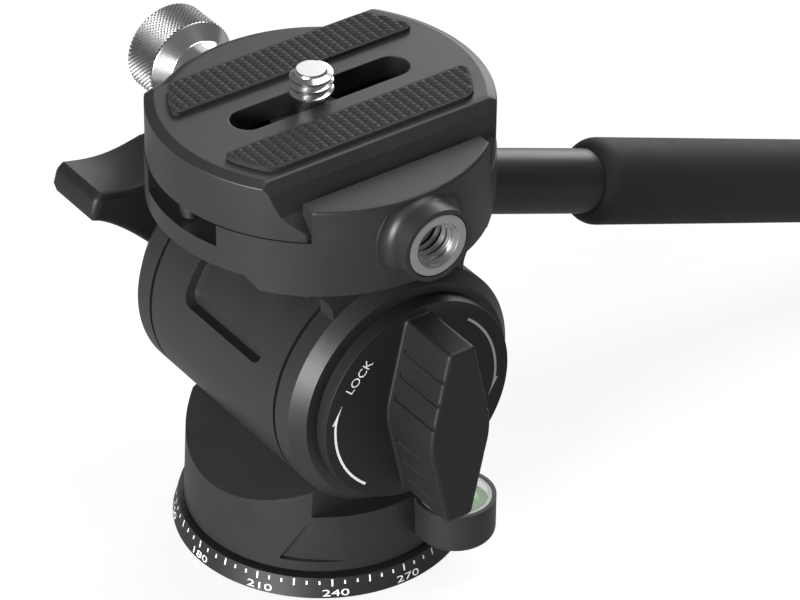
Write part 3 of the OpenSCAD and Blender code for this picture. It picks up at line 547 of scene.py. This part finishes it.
def pad_strip():
    """One strip with rounded corners and a top cut into cells."""
    corners = pad_corners()
    bm = drawn_out(corners, (0, 0, PAD_BODY))
    ends = [Vector(corners[i][:2]) for i in (0, ARC_STEPS, ARC_STEPS + 1, 2 * ARC_STEPS + 1)]
    upright = [e for e in bm.edges if (e.verts[0].co - e.verts[1].co).xy.length < 1e-4]
    chosen = [e for e in upright if any((e.verts[0].co.xy - end).length < 1e-3 for end in ends)]
    eased(bm, PAD_CORNER, chosen, 4)
    for column in range(PAD_COLUMNS):
        sliced(bm, (PAD_IN + PAD_BORDER + column * PAD_CELL[0], 0, 0), (1, 0, 0))
    for row in range(-PAD_ROWS, PAD_ROWS + 1):
        sliced(bm, (0, row * PAD_CELL[1], 0), (0, 1, 0))
    whole = PAD_CELL[0] * PAD_CELL[1]
    cells = [f for f in bm.faces if f.normal.z > 0.9 and f.calc_area() > whole * LEAST_SHARE]
    bmesh.ops.poke(bm, faces=cells, offset=PAD_POINT)
    return bm


strips = []
for hand in (1, -1):
    strip = placed(pad_strip(), Matrix.Scale(hand, 4, (1, 0, 0)))
    bmesh.ops.recalc_face_normals(strip, faces=strip.faces)
    strips.append(strip)
stand_in(piece("pad_strips", merged(strips), "plate", sharp=20), "rubber_pads", pad_rubber)

# %% [markdown]
# ## Threads
# A thread is one closed outline of its ridge, spun about the axis while it climbs one pitch per turn. A
# right-hand thread climbs counterclockwise. Where the ridge would pass the end of the screw, its points
# are held at the end face and inside the chamfer, so that it runs out as a cut thread does.

# %% Camera screw and accessory bush
PITCH = 1.27
TURN_STEPS = 40
RIDGE_FOOT, RIDGE_CREST = 0.48, 0.08


def thread(root, crest, low, high, limit):
    """Helical ridge about Z between two heights; limit gives the nearest allowed radius at a height."""
    bm = bmesh.new()
    ridge = [(root, -RIDGE_FOOT), (crest, -RIDGE_CREST), (crest, RIDGE_CREST), (root, RIDGE_FOOT)]
    verts = [bm.verts.new((r, 0, low + z * PITCH)) for r, z in ridge]
    edges = [bm.edges.new((a, b)) for a, b in zip(verts, verts[1:] + verts[:1])]
    count = int((high - low) / PITCH * TURN_STEPS)
    bmesh.ops.spin(bm, geom=verts + edges, cent=(0, 0, 0), axis=(0, 0, 1), dvec=(0, 0, PITCH / TURN_STEPS),
                   angle=math.tau * count / TURN_STEPS, steps=count)
    bmesh.ops.holes_fill(bm, edges=[e for e in bm.edges if e.is_boundary], sides=4)
    for v in bm.verts:
        v.co.z = min(max(v.co.z, low), high)
        radius = v.co.xy.length
        v.co.xy = v.co.xy * (limit(radius, v.co.z) / radius)
    bmesh.ops.recalc_face_normals(bm, faces=bm.faces)
    return bm


SCREW_Y = -1.5
SCREW_FOOT, SCREW_SEAT, SCREW_LOW, SCREW_TOP = 64.3, 67.3, 72.5, 76.5
SCREW_HEAD_R, SCREW_NECK_R, SCREW_CORE_R, SCREW_CREST_R = 5.8, 2.3, 2.45, 3.1
RIDGE_STOP, RUN_OUT = 0.35, 1.1
shank = spun([(0, SCREW_FOOT), (SCREW_HEAD_R, SCREW_FOOT), (SCREW_HEAD_R, SCREW_SEAT),
              (SCREW_NECK_R, SCREW_SEAT), (SCREW_NECK_R, SCREW_LOW - 0.2), (SCREW_CORE_R, SCREW_LOW),
              (SCREW_CORE_R, SCREW_TOP - 0.9), (SCREW_CORE_R - 0.1, SCREW_TOP - 0.5),
              (SCREW_CORE_R - 0.25, SCREW_TOP - 0.12), (SCREW_CORE_R - 0.37, SCREW_TOP), (0, SCREW_TOP)], 64)
screw_ridge = thread(SCREW_NECK_R, SCREW_CREST_R, SCREW_LOW, SCREW_TOP - RIDGE_STOP,
                     lambda r, z: min(r, SCREW_CORE_R + (SCREW_TOP - z) * RUN_OUT))
placed(screw_ridge, Matrix.Rotation(math.pi, 4, "Z"))
screw = placed(merged([shank, screw_ridge]), Matrix.Translation((0, SCREW_Y, 0)))
stand_in(piece("screw_thread", screw, "screw", 30), "camera_screw", bright_steel)

BUSH_IN, BUSH_FACE, BUSH_R, BUSH_BORE = 21.0, 28.2, 4.8, 3.15
BUSH_ROOT, BUSH_CREST, BUSH_FLARE = 3.3, 2.65, 0.7
sleeve = spun([(BUSH_BORE, BUSH_IN), (BUSH_R, BUSH_IN), (BUSH_R, BUSH_FACE - 0.3),
               (BUSH_R - 0.1, BUSH_FACE - 0.08), (BUSH_R - 0.3, BUSH_FACE), (BUSH_BORE + 0.4, BUSH_FACE),
               (BUSH_BORE + 0.25, BUSH_FACE - 0.08), (BUSH_BORE, BUSH_FACE - 0.4)], 64, closed=True)
bush_ridge = thread(BUSH_ROOT, BUSH_CREST, BUSH_IN, BUSH_FACE - 0.2,
                    lambda r, z: max(r, BUSH_CREST + max(0, z - BUSH_FACE + BUSH_FLARE)))
bush = placed(merged([sleeve, bush_ridge]), BOSS_AXIS)
stand_in(piece("bush_thread", bush, "tilt", 30), "accessory_bush", turned_steel)

# %% [markdown]
# ## Clamp knob
# The neck and the cone are turned and polished, and the head is diamond knurled. The knurl is a grid bent
# round the head: every second point of the grid stands up, and each cell is split between its two low
# points, so that every high point is the tip of a small four-sided diamond.

# %% Clamp knob
HEAD_R, HEAD_LOW, HEAD_TOP, KNURL_DEPTH = 7.0, 8.1, 14.7, 0.24
BAR_R, BAR_DEPTH, NECK_R, NECK_LEN = 2.05, 6.2, 4.7, 6.0
KNURL_COLUMNS, KNURL_ROWS, KNURL_LOW, KNURL_LEN = 128, 17, 8.3, 6.0
KNURL_TOP = KNURL_LOW + KNURL_LEN
turned = spun([(0, BAR_DEPTH), (BAR_R, BAR_DEPTH), (BAR_R, 0), (NECK_R - 0.15, 0), (NECK_R, 0.15),
               (NECK_R, NECK_LEN), (NECK_R + 0.15, NECK_LEN + 0.3), (HEAD_R - 0.25, HEAD_LOW - 0.12),
               (HEAD_R - 0.15, HEAD_LOW), (HEAD_R - 0.15, KNURL_LOW), (HEAD_R - 0.3, KNURL_LOW + 0.1),
               (HEAD_R - 0.3, KNURL_TOP - 0.1), (HEAD_R - 0.15, KNURL_TOP), (HEAD_R - 0.25, HEAD_TOP - 0.2),
               (HEAD_R - 0.6, HEAD_TOP), (0, HEAD_TOP)], 96)
knurl = bmesh.new()
bmesh.ops.create_grid(knurl, x_segments=KNURL_COLUMNS, y_segments=KNURL_ROWS, size=1.0)
for v in knurl.verts:
    column = round((v.co.x + 1) / 2 * KNURL_COLUMNS)
    row = round((v.co.y + 1) / 2 * KNURL_ROWS)
    radius = HEAD_R - KNURL_DEPTH * ((column + row) % 2)
    angle = math.tau * column / KNURL_COLUMNS
    v.co = (radius * math.cos(angle), radius * math.sin(angle), KNURL_LOW + KNURL_LEN * row / KNURL_ROWS)
for face in knurl.faces[:]:
    low_pair = [v for v in face.verts if v.co.xy.length < HEAD_R - KNURL_DEPTH / 2]
    bmesh.utils.face_split(face, *low_pair)
bmesh.ops.remove_doubles(knurl, verts=knurl.verts, dist=1e-3)
bmesh.ops.recalc_face_normals(knurl, faces=knurl.faces)
neck = piece("clamp_knob_turned", placed(turned, CLAMP_KNOB_AXIS), "clamp_knob", 30)
stand_in(neck, "clamp_knob", bright_steel)
rough_head = piece("clamp_knob_knurl", placed(knurl, CLAMP_KNOB_AXIS), "clamp_knob", 15)
added(rough_head, knurl_steel)

# %% [markdown]
# ## Lock knob
# A moulded disc with a wing to turn it by. The wing's outline is a long hexagon. It is drawn out in
# steps: it starts wider where it runs into the disc with a small fillet, gets its true width, and closes
# with a rounded edge. Three grip grooves are cut into each half flank. The nut's pocket and the shaft's
# bore are cut from behind, so that the knob can really turn on the shaft.

# %% Lock knob
KNOB_X, DISC_T, DISC_R = 21.6, 2.3, 15.65
WING_H, WING_HALF, WING_MID, WING_END = 10.4, 14.4, 5.3, 2.35
FILLET, WING_EDGE, WING_CORNER, WING_BOW = 0.35, 0.6, 0.8, 2.5
DISC_EDGE, GROOVE_R, GROOVE_START, GROOVE_OFF = 0.2, 0.45, 1.0, 0.1
GROOVES = (-10.2, -6.6, -3.0, 4.6, 8.2, 11.6)
NUT_POCKET, SHAFT_BORE, CUT_OVER = 4.65, 3.05, 1.0
KNOB_NUT_DEPTH, KNOB_SHAFT_DEPTH, WING_SUNK, WING_FOOT = 4.5, 6.4, 0.4, 0.1


def wing_outline(grow, height):
    """Hexagon of the wing with rounded corners, grown sideways; long along X, at a height on Z."""
    half, mid, end = WING_HALF + min(grow, WING_FOOT), WING_MID + grow, WING_END + grow
    turns = [math.radians(15 * i) for i in range(7)]
    quarter = [(half - WING_CORNER * (1 - math.cos(a)), end - WING_CORNER * (1 - math.sin(a))) for a in turns]
    drop = (mid - end) / half * WING_BOW / 2
    bow = [(WING_BOW * s, mid - drop * (1 + s * s)) for s in (1, 0.75, 0.5, 0.25)]
    right = quarter + bow
    upper = right + [(0, mid - drop)] + [(-x, y) for x, y in reversed(right)]
    return [(x, y, height) for x, y in upper] + [(-x, -y, height) for x, y in upper]


levels = [(FILLET, DISC_T - WING_SUNK), (FILLET, DISC_T - 0.01)]
levels += [(FILLET * (1 - math.sin(a)), DISC_T + FILLET * (1 - math.cos(a)))
           for a in (math.radians(10 * i) for i in range(1, 10))]
levels += [(WING_EDGE * (math.cos(a) - 1), DISC_T + WING_H + WING_EDGE * (math.sin(a) - 1))
           for a in (math.radians(22.5 * i) for i in range(5))]
wing = lofted([wing_outline(grow, height) for grow, height in levels])
disc = spun([(0, 0), (DISC_R - DISC_EDGE, 0), (DISC_R, DISC_EDGE), (DISC_R, DISC_T - DISC_EDGE),
             (DISC_R - DISC_EDGE * 0.3, DISC_T - DISC_EDGE * 0.3), (DISC_R - DISC_EDGE, DISC_T),
             (0, DISC_T)], 128)
moulding = combined(disc, wing, "UNION")
pocket = regular(NUT_POCKET, 6, 0, 0, -CUT_OVER, KNOB_NUT_DEPTH + CUT_OVER)
bore = regular(SHAFT_BORE, 48, 0, 0, -CUT_OVER, KNOB_SHAFT_DEPTH + CUT_OVER)
moulding = combined(combined(moulding, pocket, "DIFFERENCE"), bore, "DIFFERENCE")
grooves = []
for along in GROOVES:
    reach = WING_MID - (WING_MID - WING_END) * abs(along) / WING_HALF + GROOVE_OFF
    grooves += [regular(GROOVE_R, 12, along, hand * reach, DISC_T + GROOVE_START, WING_H) for hand in (-1, 1)]
moulding = combined(moulding, merged(grooves), "DIFFERENCE")
place_knob = TILT_AXIS @ Matrix.Translation((0, 0, KNOB_X))
stand_in(piece("lock_wing", placed(moulding, place_knob), "lock_knob"), "lock_knob", knob_black)

# %% [markdown]
# ## Printing on the lock knob
# Two thin curved arrows and one word show which way the knob locks. Each arrow is a strip of a grid that
# is bent round the tilt axis. It ends in half a head: one barb on the outer side, and a tip that leans in.

# %% Printing on the lock knob
PRINT_X = KNOB_X + DISC_T + PRINT_LIFT
STROKE, HEAD_SHARE, SHAFT_STEPS = 0.19, 0.82, 20
# Half a head: share of the arrow's length and distance from its line, for the outer and the inner edge
HALF_HEAD = [((HEAD_SHARE - 0.005, 0.6), (0.90, -0.28)), ((1.0, -0.43), (1.0, -0.45))]
WORD_CAP, WORD_SLANT, WORD_Y, WORD_Z = 1.45, math.radians(47), -9.43, 7.52


def arrow(name, radius, start, tip):
    """Thin arrow on the knob's face; angles in degrees from +Y towards +Z about the tilt axis."""
    shares = [HEAD_SHARE * i / SHAFT_STEPS for i in range(SHAFT_STEPS + 1)]
    columns = [((share, STROKE), (share, -STROKE)) for share in shares] + HALF_HEAD
    bm = bmesh.new()
    bmesh.ops.create_grid(bm, x_segments=len(columns) - 1, y_segments=1, size=1.0)
    for v in bm.verts:
        outer, inner = columns[round((v.co.x + 1) / 2 * (len(columns) - 1))]
        share, off = outer if v.co.y > 0 else inner
        angle = math.radians(start + (tip - start) * share)
        reach = radius + off
        v.co = (PRINT_X, reach * math.cos(angle), TILT_Z + reach * math.sin(angle))
    added(piece(name, bm, "lock_knob"), white_print)


arrow("arrow_left", 14.0, 230.7, 161.6)
arrow("arrow_right", 13.4, 51.2, -19.5)
lean, rise = math.cos(WORD_SLANT), math.sin(WORD_SLANT)
word_at = Matrix(((0, 0, 1, PRINT_X), (lean, -rise, 0, WORD_Y), (rise, lean, 0, TILT_Z + WORD_Z),
                  (0, 0, 0, 1)))
word = piece("lock_word", placed(lettering("LOCK", WORD_CAP, 1.0), word_at), "lock_knob")
added(word, white_print)

# %% [markdown]
# ## Drag lever
# The lever is moulded, so its edges are rounder than those of the machined parts. Its side outline has a
# dished top, a leaning tip and a hollow underside. The arm is drawn out from that outline in steps, and
# the outline is pulled in at both ends to round the edges. A thin hub joins it to the shaft.

# %% Drag lever
LEVER_AXIS = Matrix.Translation((0, 0, TILT_Z)) @ Matrix.Rotation(math.radians(-90), 4, "Y")
LEVER_TOP, LEVER_REACH, LEVER_BOSS = 16.6, 23.5, 7.2
HUB_R, HUB_T, HUB_EASE_IN, HUB_EASE_OUT = 13.0, 1.4, 0.3, 0.4
ARM_W, ARM_EDGE, ARM_SUNK = 11.0, 0.9, 0.2
LEVER_NUT_DEPTH, LEVER_SHAFT_DEPTH = 3.0, 5.3


def lever_side():
    """Side outline of the arm as (forwards, up) points about the tilt axis, counterclockwise."""
    crest, corner, foot, root = -8.6, -21.7, -23.1, -12.9
    back = [(LEVER_BOSS, 0), (LEVER_BOSS, 6.0), (4.6, 12.2), (0, 15.4), (-5.0, 16.5)]
    shares = [i / 10 for i in range(11)]
    upper = [(crest + t * (corner - crest), LEVER_TOP - math.sin(math.pi * t) + 0.25 * t) for t in shares]
    tip = [(-22.6, 16.2), (-22.95, 15.7), (-LEVER_REACH, 13.8)]
    lower = [(foot + t * (root - foot), 12.5 - 8.3 * t ** 1.35) for t in shares]
    turns = [math.pi * (1 + i / 12) for i in range(12)]
    return back + upper + tip + lower + [(LEVER_BOSS * math.cos(a), LEVER_BOSS * math.sin(a)) for a in turns]


def pulled_in(points, by):
    """A closed counterclockwise outline, moved inwards by a distance."""
    ring = [Vector(p) for p in points]
    result = []
    for before, here, after in zip(ring[-1:] + ring[:-1], ring, ring[1:] + ring[:1]):
        left = (here - before).normalized().orthogonal()
        right = (after - here).normalized().orthogonal()
        result.append(here + (left + right) * (by / (1 + left.dot(right))))
    return result


near, far = KNOB_X + HUB_T, KNOB_X + HUB_T + ARM_W
quarter_turns = [math.radians(18 * i) for i in range(1, 6)]
rounding = [(ARM_EDGE * (1 - math.sin(a)), ARM_EDGE * (1 - math.cos(a))) for a in quarter_turns]
slices = [(ARM_EDGE, near - ARM_SUNK), (ARM_EDGE, near)]
slices += [(by, near + off) for by, off in rounding]
slices += [(by, far - off) for by, off in reversed(rounding)]
slices += [(ARM_EDGE, far)]
arm = lofted([[(p.y, p.x, height) for p in pulled_in(lever_side(), by)] for by, height in slices])
hub = spun([(0, KNOB_X), (HUB_R - HUB_EASE_IN, KNOB_X), (HUB_R, KNOB_X + HUB_EASE_IN),
            (HUB_R, near - HUB_EASE_OUT), (HUB_R - HUB_EASE_OUT, near), (0, near)], 96)
pocket = regular(NUT_POCKET, 6, 0, 0, KNOB_X - CUT_OVER, LEVER_NUT_DEPTH + CUT_OVER)
bore = regular(SHAFT_BORE, 48, 0, 0, KNOB_X - CUT_OVER, LEVER_SHAFT_DEPTH + CUT_OVER)
lever = combined(hub, arm, "UNION")
lever = combined(combined(lever, pocket, "DIFFERENCE"), bore, "DIFFERENCE")
stand_in(piece("drag_arm", placed(lever, LEVER_AXIS), "drag_lever"), "drag_lever", knob_black)

# %% [markdown]
# ## Handle
# The handle is a plain rod, and its rubber grip is a turned shape with a soft shoulder and a bore that
# ends before its closed end.

# %% Handle
ROD_START, ROD_END, ROD_R, ROD_EASE = 17.5, 131.9, 4.8, 0.3
GRIP_START, GRIP_LEN, GRIP_R, GRIP_END_R = 49.9, 85.0, 6.46, 6.25
SHOULDER_R, SHOULDER_TURN, TAIL_R, ROUND_STEPS = 2.6, 67, 3.0, 8
GRIP_BORE, GRIP_FLOOR, GRIP_LIP = 4.85, 82.1, 0.25
rod = spun([(0, ROD_START), (ROD_R - ROD_EASE, ROD_START), (ROD_R, ROD_START + ROD_EASE),
            (ROD_R, ROD_END - ROD_EASE), (ROD_R - ROD_EASE, ROD_END), (0, ROD_END)], 64)
stand_in(piece("handle_bar", placed(rod, HANDLE_AXIS), "tilt"), "handle_rod", satin_black)
shares = [i / ROUND_STEPS for i in range(ROUND_STEPS + 1)]
shoulder = [(GRIP_R - SHOULDER_R * (1 - math.cos(a)), SHOULDER_R * (1 - math.sin(a)))
            for a in (math.radians(SHOULDER_TURN * (1 - share)) for share in shares)]
tail = [(GRIP_END_R - TAIL_R * (1 - math.cos(a)), GRIP_LEN - TAIL_R * (1 - math.sin(a)))
        for a in (math.radians(90 * share) for share in shares)]
inside = [(0, GRIP_FLOOR), (GRIP_BORE, GRIP_FLOOR), (GRIP_BORE, GRIP_LIP)]
grip = spun(inside + shoulder + tail + [(0, GRIP_LEN)], 64)
placed(grip, HANDLE_AXIS @ Matrix.Translation((0, 0, GRIP_START)))
stand_in(piece("grip_sleeve", grip, "tilt"), "handle_grip", grip_rubber)

# %% [markdown]
# ## Floor and light
# Four soft lamps: a large one overhead, a strong one from the camera's left, a weak one behind, which the
# top faces mirror, and a rim light from the far side. The paper of the floor is grey for the lamps, so that
# it throws little light up at black walls. The camera sees it glow white, and mirrors see a share of that
# glow. The world is a plain dim white, so that polished steel keeps its contrast.

# %% Floor and light
PAPER_GLOW, MIRROR_SHARE, FLOOR_HALF, FLOOR_DROP = 0.82, 0.25, 4.0, 0.0002
AIM = (0, 0, 0.04)
WORLD_LEVEL = 0.16
floor_mesh = bpy.data.meshes.new("studio_floor")
floor_grid = bmesh.new()
bmesh.ops.create_grid(floor_grid, x_segments=8, y_segments=8, size=FLOOR_HALF)
floor_grid.to_mesh(floor_mesh)
floor_grid.free()
floor = bpy.data.objects.new("studio_floor", floor_mesh)
floor.location.z = -FLOOR_DROP
bpy.context.scene.collection.objects.link(floor)
paper = finish("studio_paper", grey(0.18), grey(0.22), (0.85, 0.95), specular=0.1, bump=0.02,
               grain_scale=300.0)
dress(floor, paper)
paper_nodes = paper.node_tree.nodes
paper_link = paper.node_tree.links.new
ray = paper_nodes.new("ShaderNodeLightPath")
mirrored = paper_nodes.new("ShaderNodeMath")
mirrored.operation = "MAXIMUM"
seen = paper_nodes.new("ShaderNodeMath")
seen.operation = "MULTIPLY_ADD"
seen.inputs[1].default_value = MIRROR_SHARE
glow = paper_nodes.new("ShaderNodeMath")
glow.operation = "MULTIPLY"
glow.inputs[1].default_value = PAPER_GLOW
paper_link(ray.outputs["Is Glossy Ray"], mirrored.inputs[0])
paper_link(ray.outputs["Is Transmission Ray"], mirrored.inputs[1])
paper_link(mirrored.outputs[0], seen.inputs[0])
paper_link(ray.outputs["Is Camera Ray"], seen.inputs[2])
paper_link(seen.outputs[0], glow.inputs[0])
paper_link(glow.outputs[0], paper_nodes["Principled BSDF"].inputs["Emission Strength"])
paper_nodes["Principled BSDF"].inputs["Emission Color"].default_value = (1, 1, 1, 1)


def softbox(name, at, aim, size, watts):
    """Square area lamp that looks at a point."""
    data = bpy.data.lights.new(name, "AREA")
    data.shape = "SQUARE"
    data.size = size
    data.energy = watts
    lamp = bpy.data.objects.new(name, data)
    lamp.location = at
    lamp.rotation_euler = (Vector(aim) - Vector(at)).to_track_quat("-Z", "Y").to_euler()
    bpy.context.scene.collection.objects.link(lamp)


softbox("top_light", (0.03, 0.30, 0.85), AIM, 0.6, 4.6)
softbox("left_light", (0.30, -0.84, 0.20), AIM, 0.5, 20.0)
softbox("back_light", (-0.60, 0.42, 0.55), AIM, 0.45, 0.5)
softbox("rim_light", (-0.50, 0.70, 0.35), AIM, 0.5, 3.8)

world = bpy.data.worlds.new("studio_world")
bpy.context.scene.world = world
world.use_nodes = True
world.node_tree.nodes["Background"].inputs["Color"].default_value = (1, 1, 1, 1)
world.node_tree.nodes["Background"].inputs["Strength"].default_value = WORLD_LEVEL
bpy.context.scene.view_settings.view_transform = "Standard"
print("lamps:", len(bpy.data.lights))
